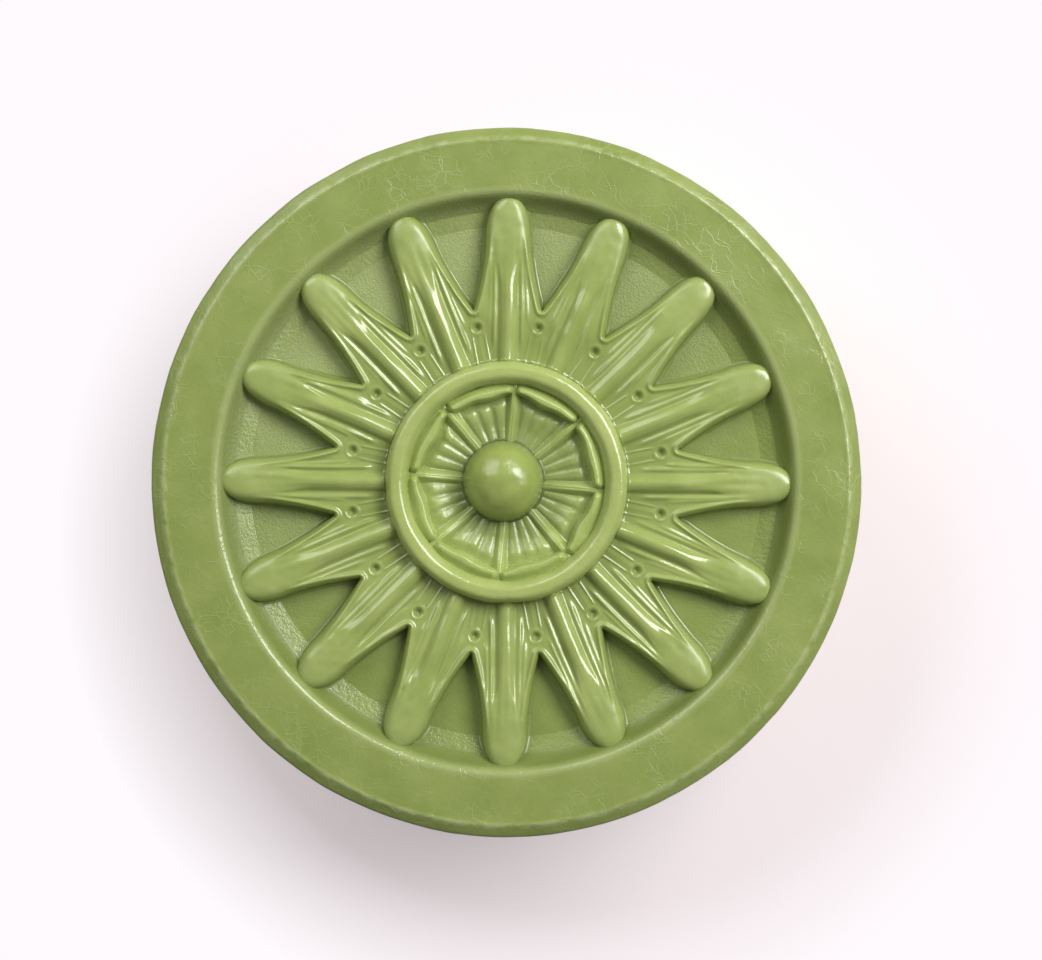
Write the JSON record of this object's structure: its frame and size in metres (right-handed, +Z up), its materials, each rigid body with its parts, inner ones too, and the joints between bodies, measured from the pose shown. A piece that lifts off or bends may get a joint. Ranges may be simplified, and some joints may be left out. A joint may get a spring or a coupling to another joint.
{
  "type": "shaving soap puck",
  "caption": "Round puck of hard soap with a plain rim round a shallow recess that holds a rayed rosette: tapering rays, a hub ring, petals and a centre dome.",
  "frame": {"origin": "middle of the flat back, on the surface that the puck lies on", "axes": "+Z up through the relief, +Y along the first ray, +X to the right of it seen from above"},
  "size_m": [0.07, 0.07, 0.0269],
  "materials": {
    "soap_body": "satin hard soap, finely crazed on the rim",
    "soap_ring": "waxy gloss",
    "soap_rays": "waxy gloss, hand-worked",
    "soap_petals": "waxy gloss",
    "soap_dome": "waxy gloss"
  },
  "bodies": {
    "root": {"puck_body": "soap_body", "hub_ring": "soap_ring", "centre_dome": "soap_dome", "ray_01": "soap_rays", "ray_02": "soap_rays", "ray_03": "soap_rays", "ray_04": "soap_rays", "ray_05": "soap_rays", "ray_06": "soap_rays", "ray_07": "soap_rays", "ray_08": "soap_rays", "ray_09": "soap_rays", "ray_10": "soap_rays", "ray_11": "soap_rays", "ray_12": "soap_rays", "ray_13": "soap_rays", "ray_14": "soap_rays", "ray_15": "soap_rays", "ray_16": "soap_rays", "petal_1": "soap_petals", "petal_2": "soap_petals", "petal_3": "soap_petals", "petal_4": "soap_petals", "petal_5": "soap_petals", "petal_6": "soap_petals", "petal_7": "soap_petals", "petal_8": "soap_petals"}
  },
  "joints": []
}
